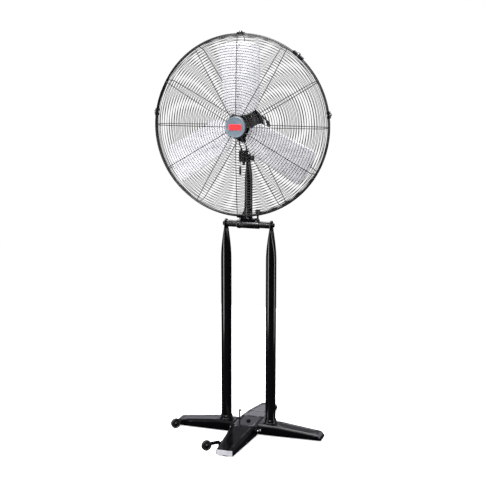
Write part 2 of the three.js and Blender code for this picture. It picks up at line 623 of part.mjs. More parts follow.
// ---------------------------------------------------------------- switch
function buildSwitch() {
  const { left, right, half, bottom, top, wall } = box;
  const middle = (left + right) / 2;
  // The box is open on its right side, where it is screwed to the bracket's cheek.
  const shell = cut(
    block([left, -half, bottom], [right, half, top]),
    block([left + wall, wall - half, bottom + wall], [right + 1, half - wall, top - wall]),
    rod(3.2, bottom - 1, bottom + wall + 1, "z", 16).translate(left + 5, -9, 0),
  );
  const cheekFace = -neck.halfThick - 0.6 - tilt.cheekThick - gap;
  const tongue = block([right - 1, -half, bottom + 34], [cheekFace, half, bottom + 38]);
  add("switch_box", joined(shell, tongue), blackPlastic);

  const cell = rod(8, bottom + 14, top - 6, "z", 24).translate(middle + 1, 3, 0);
  add("run_capacitor", cell, motorPaint);

  const glandNut = rod(8.5, bottom - 6, bottom - gap, "z", 6);
  const gland = joined(glandNut, ring(4.2, 6.5, bottom - 18, bottom - 5, "z", 20));
  add("cord_gland", gland.translate(middle + 4, 6, 0), blackPlastic);

  // The lead from the motor case down into the top of the box.
  const lead = new THREE.CatmullRomCurve3([
    point(left + 8, 0, top + gap),
    point(left + 7, 0, top + 12),
    point(left - 2, 0, top + 30),
    point(left - 3, 0, top + 48),
    point(left - 1, 0, top + 62),
  ]);
  const section = new THREE.Shape().absarc(0, 0, 3.2, 0, Math.PI * 2);
  const leadTube = new THREE.ExtrudeGeometry(section, { extrudePath: lead, steps: 9, curveSegments: 4 });
  const caseSpace = rod(motor.caseFin + 0.5, -60, 60, "y", 48).translate(0, 0, hubHeight);
  add("motor_lead", cut(leadTube, caseSpace), rubber);

  // The pull cord, its bead stack and its grip hang from the front left corner of the box.
  const [x, y] = [left + 5, -9];
  add("pull_chain", rod(1.3, 1322, bottom + 4, "z", 10).translate(x, y, 0), zinc);
  const grip = [[0, 1279], [3.5, 1279.5], [5.6, 1283], [4.2, 1289]];
  grip.push([6, 1294], [4.2, 1300], [6, 1305], [4.2, 1311]);
  grip.push([5.6, 1316], [3, 1321.4], [0, 1321.4]);
  add("pull_grip", turned(grip, "z", 16).translate(x, y, 0), blackPlastic);
}

// ---------------------------------------------------------------- assembly
buildBase();
buildWheels();
buildPosts();
buildNeck();
buildTiltBracket();
buildSwitch();
const head = new THREE.Group();
head.position.z = hubHeight;
fan.add(head);
buildMotor(head);
buildRotor(head);
buildGuards(head);
buildClips(head);

export default fan;
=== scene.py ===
"""Looks of the pedestal fan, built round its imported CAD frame.

Lengths are in metres, +Z is up and the fan blows to -Y.
"""

import math

import bmesh
import bpy
from mathutils import Matrix, Vector


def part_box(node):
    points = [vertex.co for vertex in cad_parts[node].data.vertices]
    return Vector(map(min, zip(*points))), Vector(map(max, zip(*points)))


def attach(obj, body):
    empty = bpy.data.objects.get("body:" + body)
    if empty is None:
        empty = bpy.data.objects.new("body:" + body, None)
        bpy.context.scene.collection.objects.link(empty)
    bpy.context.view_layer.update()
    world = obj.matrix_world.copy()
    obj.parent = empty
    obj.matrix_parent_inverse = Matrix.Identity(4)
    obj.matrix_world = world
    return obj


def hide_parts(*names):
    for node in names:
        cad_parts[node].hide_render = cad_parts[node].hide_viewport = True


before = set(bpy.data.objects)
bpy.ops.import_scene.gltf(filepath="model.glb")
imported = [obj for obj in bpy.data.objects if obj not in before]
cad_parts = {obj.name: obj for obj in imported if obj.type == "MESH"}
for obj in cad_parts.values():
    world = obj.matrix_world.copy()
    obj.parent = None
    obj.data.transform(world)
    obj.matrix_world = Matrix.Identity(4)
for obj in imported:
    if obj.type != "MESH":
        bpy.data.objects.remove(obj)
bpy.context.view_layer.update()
MM = 0.001
TAU = 2 * math.pi


# ---------------------------------------------------------------- places read from the frame
def centre(node):
    low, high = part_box(node)
    return (low + high) / 2


def extent(node):
    low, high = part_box(node)
    return high - low


HUB = Vector((0, 0, centre("rotor_shaft").z))
BAR_Z = centre("crossbar").z
DECK_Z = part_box("base_beam")[1].z
POST_X = centre("right_post").x
TILT_Z = centre("tilt_knob").z
RIM_R = extent("front_guard").x / 2 - 3.6 * MM
BLADES = 3
ROTOR_REST = math.radians(-2)
SPOKES = 12


# ---------------------------------------------------------------- camera, light and floor
def build_studio():
    camera_data = bpy.data.cameras.new("camera")
    camera_data.lens = 80.5
    camera_data.sensor_width = 36
    camera = bpy.data.objects.new("camera", camera_data)
    azimuth, pitch = math.radians(18.4), math.radians(10.3)
    camera.location = (1.5933, -4.8823, 1.8867)
    camera.rotation_euler = (math.pi / 2 - pitch, 0, azimuth)
    bpy.context.scene.collection.objects.link(camera)
    bpy.context.scene.camera = camera

    for name, place, aim, width, height, power in (
        ("left_strip", (-1.12, -1.18, 0.8), (0, 0, 0.8), 0.5, 1.4, 17),
        ("right_strip", (1.7, 0.15, 0.8), (0, 0, 0.8), 0.25, 1.5, 9),
        ("front_soft", (0.0, -3.2, 3.5), (0, 0, 1.2), 2.2, 1.6, 275),
        ("back_soft", (-0.6, 2.4, 4.3), (0, 0, 1.0), 2.4, 1.6, 80),
        ("top_soft", (0.0, -0.2, 4.4), (0, 0, 0), 2.4, 2.4, 110),
    ):
        data = bpy.data.lights.new(name, "AREA")
        data.shape = "RECTANGLE"
        data.size, data.size_y, data.energy = width, height, power
        light = bpy.data.objects.new(name, data)
        light.location = place
        light.rotation_euler = (Vector(aim) - Vector(place)).to_track_quat("-Z", "Y").to_euler()
        bpy.context.scene.collection.objects.link(light)

    # The world is plain white where it is seen. Where it lights and reflects it is a dim room: dark
    # below, pale just above the horizon and darker again higher up.
    world = bpy.data.worlds.new("studio")
    bpy.context.scene.world = world
    world.use_nodes = True
    nodes, links = world.node_tree.nodes, world.node_tree.links
    nodes.clear()
    output = nodes.new("ShaderNodeOutputWorld")
    mix = nodes.new("ShaderNodeMixShader")
    path = nodes.new("ShaderNodeLightPath")
    seen = nodes.new("ShaderNodeBackground")
    seen.inputs["Color"].default_value = (1, 1, 1, 1)
    lit = nodes.new("ShaderNodeBackground")
    where = nodes.new("ShaderNodeTexCoord")
    split = nodes.new("ShaderNodeSeparateXYZ")
    height = nodes.new("ShaderNodeMapRange")
    height.inputs["From Min"].default_value = -1
    ramp = nodes.new("ShaderNodeValToRGB")
    stops = ramp.color_ramp.elements
    stops[0].position, stops[0].color = 0.0, (0.02, 0.02, 0.022, 1)
    stops[1].position, stops[1].color = 1.0, (0.30, 0.30, 0.32, 1)
    low_tones = ((0.49, 0.02), (0.51, 0.7), (0.587, 0.95), (0.65, 0.62))
    high_tones = ((0.675, 0.48), (0.7, 0.18), (0.82, 0.1))
    for place, tone in low_tones + high_tones:
        stops.new(place).color = (tone, tone * 0.98, tone * 1.1, 1)
    links.new(where.outputs["Generated"], split.inputs[0])
    links.new(split.outputs["Z"], height.inputs["Value"])
    links.new(height.outputs["Result"], ramp.inputs["Fac"])
    links.new(ramp.outputs["Color"], lit.inputs["Color"])
    links.new(path.outputs["Is Camera Ray"], mix.inputs[0])
    links.new(lit.outputs[0], mix.inputs[1])
    links.new(seen.outputs[0], mix.inputs[2])
    links.new(mix.outputs[0], output.inputs["Surface"])

    bpy.ops.mesh.primitive_plane_add(size=5, location=(0, 0, 0))
    floor = bpy.context.object
    floor.name = "floor"
    floor.data.materials.append(floor_material())
    bpy.context.scene.view_settings.view_transform = "Standard"


# ---------------------------------------------------------------- materials
def new_material(name):
    material = bpy.data.materials.new(name)
    material.use_nodes = True
    return material, material.node_tree.nodes, material.node_tree.links


def floor_material():
    """Pale with soft shadows where it is seen, and dark where it is reflected, so enamel stays black."""
    material, nodes, links = new_material("floor")
    shader = nodes["Principled BSDF"]
    shader.inputs["Roughness"].default_value = 0.9
    shader.inputs["Specular IOR Level"].default_value = 0.0
    shader.inputs["Base Color"].default_value = (0.93, 0.93, 0.93, 1)
    shader.inputs["Emission Color"].default_value = (1, 1, 1, 1)
    shader.inputs["Emission Strength"].default_value = 0.62
    dark = nodes.new("ShaderNodeBsdfDiffuse")
    dark.inputs["Color"].default_value = (0.016, 0.016, 0.018, 1)
    path = nodes.new("ShaderNodeLightPath")
    mix = nodes.new("ShaderNodeMixShader")
    links.new(path.outputs["Is Camera Ray"], mix.inputs[0])
    links.new(dark.outputs[0], mix.inputs[1])
    links.new(shader.outputs[0], mix.inputs[2])
    links.new(mix.outputs[0], nodes["Material Output"].inputs["Surface"])
    return material


def surface(name, dark, light, rough, grain, bump, blotch, metallic=0.0, stretch=(1, 1, 1), specular=0.5):
    """A finish whose colour drifts between dark and light in soft blotches.

    Its roughness drifts over the range rough, and it has a fine grain of height bump, in metres. Grain and
    blotch are in waves to the metre.
    """
    material, nodes, links = new_material(name)
    shader = nodes["Principled BSDF"]
    shader.inputs["Metallic"].default_value = metallic
    shader.inputs["Specular IOR Level"].default_value = specular
    where = nodes.new("ShaderNodeTexCoord")
    stretched = nodes.new("ShaderNodeMapping")
    stretched.inputs["Scale"].default_value = stretch
    links.new(where.outputs["Object"], stretched.inputs["Vector"])

    def noise(scale, detail, roughness=0.55):
        node = nodes.new("ShaderNodeTexNoise")
        node.inputs["Scale"].default_value = scale
        node.inputs["Detail"].default_value = detail
        node.inputs["Roughness"].default_value = roughness
        links.new(stretched.outputs["Vector"], node.inputs["Vector"])
        return node

    drift = noise(blotch, 5)
    ramp = nodes.new("ShaderNodeValToRGB")
    ramp.color_ramp.elements[0].position = 0.36
    ramp.color_ramp.elements[0].color = (*dark, 1)
    ramp.color_ramp.elements[1].position = 0.66
    ramp.color_ramp.elements[1].color = (*light, 1)
    links.new(drift.outputs["Fac"], ramp.inputs["Fac"])
    links.new(ramp.outputs["Color"], shader.inputs["Base Color"])

    smear = noise(blotch * 4.3, 6, 0.65)
    spread = nodes.new("ShaderNodeMapRange")
    spread.inputs["From Min"].default_value = 0.3
    spread.inputs["From Max"].default_value = 0.7
    spread.inputs["To Min"].default_value = rough[0]
    spread.inputs["To Max"].default_value = rough[1]
    links.new(smear.outputs["Fac"], spread.inputs["Value"])
    links.new(spread.outputs["Result"], shader.inputs["Roughness"])

    fine = noise(grain, 3)
    relief = nodes.new("ShaderNodeBump")
    relief.inputs["Strength"].default_value = 1.0
    relief.inputs["Distance"].default_value = bump
    links.new(fine.outputs["Fac"], relief.inputs["Height"])
    links.new(relief.outputs["Normal"], shader.inputs["Normal"])
    return material


MATERIALS = {
    "black_paint": surface(
        "gloss_black_enamel",
        dark=(0.0008, 0.0008, 0.0010),
        light=(0.0016, 0.0016, 0.0020),
        rough=(0.09, 0.19),
        grain=420,
        bump=0.004 * MM,
        blotch=7,
    ),
    "rubbed_paint": surface(
        "rubbed_black_enamel",
        dark=(0.0010, 0.0010, 0.0012),
        light=(0.0024, 0.0024, 0.003),
        rough=(0.20, 0.26),
        grain=420,
        bump=0.004 * MM,
        blotch=7,
        specular=0.9,
    ),
    "motor_paint": surface(
        "motor_enamel",
        dark=(0.005, 0.0053, 0.006),
        light=(0.012, 0.0125, 0.014),
        rough=(0.32, 0.5),
        grain=1300,
        bump=0.12 * MM,
        blotch=16,
    ),
    "guard_wire": surface(
        "coated_wire",
        dark=(0.003, 0.003, 0.0036),
        light=(0.008, 0.008, 0.0095),
        rough=(0.25, 0.42),
        grain=1500,
        bump=0.05 * MM,
        blotch=20,
    ),
    "zinc_steel": surface(
        "bright_zinc",
        dark=(0.42, 0.43, 0.46),
        light=(0.62, 0.62, 0.62),
        rough=(0.22, 0.4),
        grain=1600,
        bump=0.04 * MM,
        blotch=60,
        metallic=1,
    ),
    "blade_aluminium": surface(
        "sheet_aluminium",
        dark=(0.49, 0.495, 0.515),
        light=(0.585, 0.585, 0.605),
        rough=(0.34, 0.5),
        grain=500,
        bump=0.05 * MM,
        blotch=10,
        metallic=0.3,
        stretch=(1, 1, 5),
    ),
    "black_plastic": surface(
        "moulded_plastic",
        dark=(0.004, 0.004, 0.0045),
        light=(0.009, 0.009, 0.0095),
        rough=(0.38, 0.55),
        grain=2200,
        bump=0.1 * MM,
        blotch=25,
    ),
    "rubber": surface(
        "matt_rubber",
        dark=(0.008, 0.008, 0.008),
        light=(0.016, 0.016, 0.016),
        rough=(0.7, 0.9),
        grain=1800,
        bump=0.2 * MM,
        blotch=30,
    ),
    "badge_paint": surface(
        "badge_enamel",
        dark=(0.085, 0.115, 0.142),
        light=(0.12, 0.152, 0.18),
        rough=(0.3, 0.42),
        grain=2400,
        bump=0.04 * MM,
        blotch=30,
        metallic=0.15,
    ),
    "label_red": surface(
        "red_film",
        dark=(0.62, 0.015, 0.022),
        light=(0.78, 0.035, 0.04),
        rough=(0.22, 0.34),
        grain=900,
        bump=0.03 * MM,
        blotch=60,
    ),
    "end_white": surface(
        "white_plate",
        dark=(0.40, 0.40, 0.43),
        light=(0.52, 0.52, 0.55),
        rough=(0.3, 0.42),
        grain=700,
        bump=0.05 * MM,
        blotch=40,
    ),
    "stator_iron": surface(
        "windings",
        dark=(0.10, 0.05, 0.03),
        light=(0.30, 0.17, 0.09),
        rough=(0.4, 0.6),
        grain=1200,
        bump=0.2 * MM,
        blotch=50,
        metallic=0.4,
    ),
}


# ---------------------------------------------------------------- closed surfaces as (points, faces)
AXES = {
    "x": (Vector((1, 0, 0)), Vector((0, 1, 0)), Vector((0, 0, 1))),
    "y": (Vector((0, 1, 0)), Vector((0, 0, 1)), Vector((1, 0, 0))),
    "z": (Vector((0, 0, 1)), Vector((1, 0, 0)), Vector((0, 1, 0))),
}


def skin(rings, closed=False):
    """A surface through rings with equal numbers of points. Its ends meet, or each gets a face."""
    count = len(rings[0])
    points = [p for ring in rings for p in ring]
    faces = []
    for r in range(len(rings) if closed else len(rings) - 1):
        a, b = r * count, ((r + 1) % len(rings)) * count
        for i in range(count):
            j = (i + 1) % count
            faces.append((a + i, a + j, b + j, b + i))
    if not closed:
        faces.append(tuple(range(count)))
        faces.append(tuple(range(len(points) - count, len(points))))
    return points, faces


def rounded(outline, radius, closed=True, steps=3):
    """The outline with each corner turned into a short curve that starts and ends radius from it."""
    result = []
    count = len(outline)
    for i, corner in enumerate(outline):
        here = Vector(corner)
        if not closed and i in (0, count - 1):
            result.append(here)
            continue
        before, after = Vector(outline[i - 1]), Vector(outline[(i + 1) % count])
        reach_in = min(radius, (before - here).length * 0.45)
        reach_out = min(radius, (after - here).length * 0.45)
        start = here + (before - here).normalized() * reach_in
        end = here + (after - here).normalized() * reach_out
        for k in range(steps + 1):
            t = k / steps
            result.append(start * (1 - t) ** 2 + here * 2 * t * (1 - t) + end * t * t)
    return result


def mm(*pairs, along=0.0):
    """Points of an outline given in millimetres, the second number of each counted on from along."""
    return [(first * MM, along + second * MM) for first, second in pairs]


def lathe(profile, axis, origin=(0, 0, 0), sides=48, hollow=False, round_by=0.0):
    """Turns a profile of (radius, distance along the axis). A hollow one closes on itself."""
    if round_by:
        profile = rounded(profile, round_by, closed=hollow)
    along, first, second = AXES[axis]
    base = Vector(origin)
    rings = []
    for radius, distance in profile:
        middle = base + along * distance
        rings.append(
            [
                middle + (first * math.cos(TAU * i / sides) + second * math.sin(TAU * i / sides)) * radius
                for i in range(sides)
            ]
        )
    return skin(rings, closed=hollow)


def rod(radius, start, end, axis, origin=(0, 0, 0), sides=24, edge=0.4 * MM):
    edge = min(edge, radius * 0.45, abs(end - start) * 0.45)
    sign = 1 if end > start else -1
    profile = [(radius - edge, start), (radius, start + sign * edge)]
    profile += [(radius, end - sign * edge), (radius - edge, end)]
    return lathe(profile, axis, origin, sides)


def hoop(radius, wire, axis, origin, around=120, sides=8):
    profile = [
        (radius + wire * math.cos(TAU * k / sides), wire * math.sin(TAU * k / sides)) for k in range(sides)
    ]
    return lathe(profile, axis, origin, around, hollow=True)


def tube(path, radius, sides=10):
    """A round wire along a list of points."""
    path = [Vector(p) for p in path]
    rings = []
    side = None
    for i, here in enumerate(path):
        ahead = (path[min(i + 1, len(path) - 1)] - path[max(i - 1, 0)]).normalized()
        if side is None:
            side = ahead.orthogonal().normalized()
        side = (side - ahead * side.dot(ahead)).normalized()
        other = ahead.cross(side)
        rings.append(
            [
                here + (side * math.cos(TAU * k / sides) + other * math.sin(TAU * k / sides)) * radius
                for k in range(sides)
            ]
        )
    return skin(rings)


def smooth_path(points, steps=8):
    """A Catmull-Rom curve through the points."""
    points = [Vector(p) for p in points]
    ends = [points[0] * 2 - points[1], *points, points[-1] * 2 - points[-2]]
    result = []
    for i in range(1, len(ends) - 2):
        a, b, c, d = ends[i - 1 : i + 3]
        for k in range(steps):
            t = k / steps
            bend = (a * 2 - b * 5 + c * 4 - d) * t * t + (b * 3 - a - c * 3 + d) * t**3
            result.append((b * 2 + (c - a) * t + bend) / 2)
    return result + [points[-1]]


def prism(outline, start, end, axis):
    """An outline of (first, second) coordinates across an axis, drawn out along it."""
    along, first, second = AXES[axis]
    rings = [[along * d + first * p[0] + second * p[1] for p in outline] for d in (start, end)]
    return skin(rings)


def block(low, high):
    (x0, y0, z0), (x1, y1, z1) = low, high
    return prism([(y0, z0), (y1, z0), (y1, z1), (y0, z1)], x0, x1, "x")


def hex_head(radius, start, end, axis, origin=(0, 0, 0)):
    """A bolt head with six flats and a chamfered top."""
    chamfer = (end - start) * 0.2
    profile = [(radius, start), (radius, end - chamfer), (radius * 0.88, end)]
    return lathe(profile, axis, origin, 6)


def moved(shape, matrix):
    points, faces = shape
    return [matrix @ p for p in points], faces


def turned_about(shape, axis, angle):
    return moved(shape, Matrix.Rotation(angle, 4, axis.upper()))


def soften(made, width, sharper_than):
    """Rounds the edges sharper than an angle in degrees with a narrow bevel."""
    edge = made.modifiers.new("edge", "BEVEL")
    edge.width = width
    edge.segments = 2
    edge.limit_method = "ANGLE"
    edge.angle_limit = math.radians(sharper_than)


def piece(name, shapes, slot, body, replaces=(), crease=32, bevel=0.0, shell=0.0, finish=None):
    """One visible piece made of closed surfaces, which rides on a CAD body and stands for some of its nodes.

    Its finish is its slot's unless another is named. Edges sharper than crease, in degrees, stay sharp.
    """
    points, faces = [], []
    for shape_points, shape_faces in shapes:
        offset = len(points)
        points += shape_points
        faces += [tuple(offset + i for i in face) for face in shape_faces]
    mesh = bpy.data.meshes.new(name)
    mesh.from_pydata([tuple(p) for p in points], [], faces)
    work = bmesh.new()
    work.from_mesh(mesh)
    bmesh.ops.recalc_face_normals(work, faces=work.faces)
    work.to_mesh(mesh)
    work.free()
    for polygon in mesh.polygons:
        polygon.use_smooth = True
    mesh.set_sharp_from_angle(angle=math.radians(crease))
    mesh.materials.append(MATERIALS[finish or slot])
    made = bpy.data.objects.new(name, mesh)
    bpy.context.scene.collection.objects.link(made)
    if shell:
        solidify = made.modifiers.new("sheet", "SOLIDIFY")
        solidify.thickness = shell
        solidify.offset = -1
    if bevel:
        soften(made, bevel, 30)
    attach(made, body)
    if replaces:
        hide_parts(*replaces)
    return made


def dress(node, slot, bevel):
    """A CAD node that stays gets its finish, and a narrow bevel on its edges."""
    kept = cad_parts[node]
    kept.data.materials.clear()
    kept.data.materials.append(MATERIALS[slot])
    soften(kept, bevel, 35)


# ---------------------------------------------------------------- base
LEG_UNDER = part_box("base_beam")[0].z
LEG_TIP_TOP = 35 * MM
LEG_SPLAY = 18 * MM
SHOULDER = 8 * MM
SHEET = 3 * MM
PANEL_DROP = 1.7 * MM
PANEL_EDGE = 3 * MM
PANEL_INSET = 11 * MM


def leg_ring(along, half, top, splay, sunk):
    """Points across a leg from one lower edge to the other, with the panel columns sunk or level."""
    shelf = half - SHOULDER - 1 * MM
    rows = [(half, LEG_UNDER), (half, (LEG_UNDER + top) / 2), (half, top - SHOULDER - 2 * MM)]
    rows += [(half - 0.6 * MM, top - SHOULDER + 0.5 * MM), (half - 4.5 * MM, top - 3.6 * MM)]
    rows += [(shelf + 1.2 * MM, top - 0.8 * MM), (shelf - 1.2 * MM, top)]
    border = shelf - PANEL_INSET
    drop = PANEL_DROP if sunk else 0
    rows += [(border, top), (border - PANEL_EDGE, top - drop), (border * 0.45, top - drop)]
    left = [(-x, z) for x, z in rows]
    right = [(x, z) for x, z in reversed(rows)]
    ring = left + [(0, top - drop)] + right
    return [Vector((x, along + splay * (top - z) / (top - LEG_UNDER), z)) for x, z in ring]


def pressing(name, stations, panels, splays, turn, node):
    """A pressed leg, open below. Its stations are (distance, half width, top) and its panels are sunk."""

    def shape_at(d):
        for (d0, h0, t0), (d1, h1, t1) in zip(stations, stations[1:]):
            if d <= d1:
                t = (d - d0) / (d1 - d0)
                return h0 + (h1 - h0) * t, t0 + (t1 - t0) * t
        return stations[-1][1:]

    rows = [(d, False) for d, _, _ in stations]
    for start, end in panels:
        rows += [(start, False), (start + PANEL_EDGE, True), (end - PANEL_EDGE, True), (end, False)]
        steps = max(2, round((end - start) / (40 * MM)))
        rows += [(start + (end - start) * k / steps, True) for k in range(1, steps)]
    rows = sorted({(round(d, 5), sunk) for d, sunk in rows})
    rows = [r for r in rows if r[1] or not any(s < r[0] < e for s, e in panels)]
    rings = []
    for i, (d, sunk) in enumerate(rows):
        splay = splays[0] if i == 0 else splays[1] if i == len(rows) - 1 else 0
        half, top = shape_at(d)
        rings.append(leg_ring(d, half, top, splay, sunk))
    points = [p for ring in rings for p in ring]
    count = len(rings[0])
    faces = []
    for r in range(len(rings) - 1):
        for i in range(count - 1):
            a, b = r * count + i, (r + 1) * count + i
            faces.append((a, a + 1, b + 1, b))
    faces.append(tuple(range(count)))
    faces.append(tuple(range(len(points) - count, len(points))))
    shape = turned_about((points, faces), "z", turn)
    return piece(name, [shape], "black_paint", "stand", [node], crease=24, shell=SHEET)


def build_base():
    low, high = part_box("base_beam")
    beam_half, tip_half = high.x, 43 * MM
    front, back = low.y, high.y - LEG_SPLAY
    deck, broad = 74 * MM, 190 * MM
    broad_top = DECK_Z + (LEG_TIP_TOP - DECK_Z) * (broad - deck) / (back - deck)
    pressing(
        "beam_pressing",
        [
            (front, tip_half, LEG_TIP_TOP),
            (-deck, beam_half, DECK_Z),
            (deck, beam_half, DECK_Z),
            (broad, beam_half - MM, broad_top),
            (back, tip_half, LEG_TIP_TOP),
        ],
        [
            (front + 14 * MM, -deck - 6 * MM),
            (-deck + 6 * MM, deck - 6 * MM),
            (deck + 6 * MM, 170 * MM),
            (182 * MM, back - 14 * MM),
        ],
        (0, LEG_SPLAY),
        0,
        "base_beam",
    )
    root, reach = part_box("right_leg")[0].x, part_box("right_leg")[1].x - LEG_SPLAY
    leg_half, leg_tip, leg_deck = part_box("right_leg")[1].y, 41 * MM, 158 * MM
    for name, turn in (("right", -math.pi / 2), ("left", math.pi / 2)):
        pressing(
            name + "_leg_pressing",
            [(root, leg_half, DECK_Z), (leg_deck, leg_half, DECK_Z), (reach, leg_tip, LEG_TIP_TOP)],
            [(leg_deck + 2 * MM, reach - 16 * MM)],
            (0, LEG_SPLAY),
            turn,
            name + "_leg",
        )

    low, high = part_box("front_end_plate")
    piece("front_plate", [block(low, high)], "end_white", "stand", ["front_end_plate"], bevel=0.6 * MM)

    for name in ("front", "rear", "left", "right"):
        node = "foot_" + name
        middle = centre(node)
        profile = mm((14.5, 0), (16, 0.8), (18, 3), (18, 7), (16.5, 9), (15, 18), (14, 30))
        foot = lathe(profile, "z", (middle.x, middle.y, 0), 40)
        piece(node + "_rubber", [foot], "rubber", "stand", [node])

    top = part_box("centre_bolt")[1].z
    bolt = [hex_head(9.5 * MM, top - 6 * MM, top, "z")]
    bolt.append(rod(12 * MM, DECK_Z - 1.5 * MM, top - 5.6 * MM, "z"))
    bolt.append(rod(5 * MM, DECK_Z - 14 * MM, DECK_Z, "z"))
    piece("centre_bolt_head", bolt, "black_paint", "stand", ["centre_bolt"], crease=28)

    # The hook pin stands in a small collar and bends over at its top.
    x, y = -50 * MM, 12 * MM
    path = smooth_path(
        [
            (x, y, DECK_Z - 1.4 * MM),
            (x, y, DECK_Z + 30 * MM),
            (x - MM, y, DECK_Z + 42 * MM),
            (x + 3 * MM, y - 2 * MM, DECK_Z + 48 * MM),
            (x + 8 * MM, y - 4 * MM, DECK_Z + 45 * MM),
        ],
        7,
    )
    collar = mm((7, -1.5), (7, 2.6), (5.2, 4.6), (3, 5), along=DECK_Z)
    ball = mm((0.8, -4.4), (3.6, -3), (4.8, 0), (3.6, 3), (0.8, 4.4))
    pin = [tube(path, 3.3 * MM, 14), lathe(collar, "z", (x, y, 0), 28), lathe(ball, "z", path[-1], 20)]
    piece("cable_hook", pin, "black_paint", "stand", ["hook_pin"])

    # Angle brackets with zinc screws tie the side legs to the beam, one in each inner corner.
    for x_sign in (-1, 1):
        for y_sign in (-1, 1):
            tag = ("right" if x_sign > 0 else "left") + ("_back" if y_sign > 0 else "_front")
            corner = Vector((x_sign * (beam_half + 0.3 * MM), y_sign * leg_half, 0))
            depth = 2.5 * MM
            flap = 20 * MM
            spans = []
            for along in (0, 1):
                a = [corner.x, corner.y, 16 * MM]
                b = [corner.x, corner.y, 42 * MM]
                b[along] += (x_sign, y_sign)[along] * flap
                b[1 - along] += (x_sign, y_sign)[1 - along] * depth
                spans.append(block([min(p, q) for p, q in zip(a, b)], [max(p, q) for p, q in zip(a, b)]))
            piece(f"corner_bracket_{tag}", spans, "black_paint", "stand", bevel=0.5 * MM)
            screws = []
            for along, axis in ((0, "y"), (1, "x")):
                spot = [corner.x, corner.y, 29 * MM]
                spot[along] += (x_sign, y_sign)[along] * 12 * MM
                outward = (x_sign, y_sign)[1 - along]
                start = spot[1 - along] + outward * depth
                spot[1 - along] = 0
                screws.append(hex_head(5 * MM, start, start + outward * 4 * MM, axis, spot))
                screws.append(rod(6.4 * MM, start - outward * 0.5 * MM, start + outward * MM, axis, spot))
            piece(f"corner_screws_{tag}", screws, "zinc_steel", "stand", crease=28)


# ---------------------------------------------------------------- wheels
def build_wheels():
    turn = Matrix.Rotation(math.pi / 4, 4, "Z")
    for side in ("left", "front"):
        hub = centre(side + "_wheel")
        place = Matrix.Translation(hub) @ turn
        half = 7 * MM
        rim = mm((17.5, -5.4), (19.5, -7), (22.6, -7), (25, -5), (25, -1), (24.3, 0))
        rim += mm((25, 1), (25, 5), (22.6, 7), (19.5, 7), (17.5, 5.4))
        boss = mm((5.2, -8), (9, -8), (9, 7), (5.2, 7))
        web = mm((8, -1.2), (18.5, -1.2), (18.5, 1.2), (8, 1.2))
        shapes = [lathe(rim, "y", sides=56, hollow=True)]
        shapes.append(lathe(boss, "y", sides=32, hollow=True, round_by=0.6 * MM))
        for i in range(5):
            spoke = block((7.5 * MM, -4 * MM, -2.3 * MM), (18.6 * MM, 4 * MM, 2.3 * MM))
            shapes.append(turned_about(spoke, "y", TAU * i / 5))
        shapes.append(lathe(web, "y", sides=40, hollow=True))
        shapes = [moved(s, place) for s in shapes]
        piece(side + "_wheel_moulding", shapes, "black_plastic", side + "_wheel", [side + "_wheel"])

        arm_back = half + 7 * MM
        axle = [rod(5 * MM, -half - 4 * MM, arm_back + 4 * MM, "y", sides=28)]
        cap = mm((3, -13), (6.5, -12.2), (8, -10.4), (8, -8.9), (5, -8.8))
        axle.append(lathe(cap, "y", sides=28))
        axle.append(hex_head(7.5 * MM, arm_back + 0.2 * MM, arm_back + 4.6 * MM, "y"))
        axle = [moved(s, place) for s in axle]
        piece(side + "_axle_pin", axle, "black_paint", "stand", [side + "_wheel_axle"], crease=28)
        dress(side + "_wheel_bracket", "black_paint", 0.5 * MM)


# ---------------------------------------------------------------- posts, crossbar and neck
def pinched_ring(z, x, radius, thick, wide, pinch):
    """A round tube's section, pressed flatter across X as pinch goes from 0 to 1."""
    across = radius + (thick - radius) * pinch
    along = radius + (wide - radius) * pinch
    power = 1 - 0.55 * pinch
    sides = 56
    ring = []
    for i in range(sides):
        angle = TAU * i / sides
        c = math.cos(angle)
        ring.append(Vector((x + across * math.copysign(abs(c) ** power, c), along * math.sin(angle), z)))
    return ring


def pinched_tube(node, x, radius, thick, wide, pinch_start, pinch_end):
    low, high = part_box(node)
    round_part = (low.z, low.z + 30 * MM, pinch_start - 40 * MM)
    rings = [pinched_ring(z, x, radius, thick, wide, 0) for z in round_part]
    steps = 14
    for i in range(steps + 1):
        z = pinch_start + (pinch_end - pinch_start) * i / steps
        rings.append(pinched_ring(z, x, radius, thick, wide, (i / steps) ** 2))
    for i in range(9):
        share = math.sin(math.pi / 2 * i / 8.15)
        z = high.z - wide * (1 - share) * 0.7
        rings.append(pinched_ring(z, x, radius, thick, wide * math.sqrt(1 - share * share), 1))
    return skin(rings)


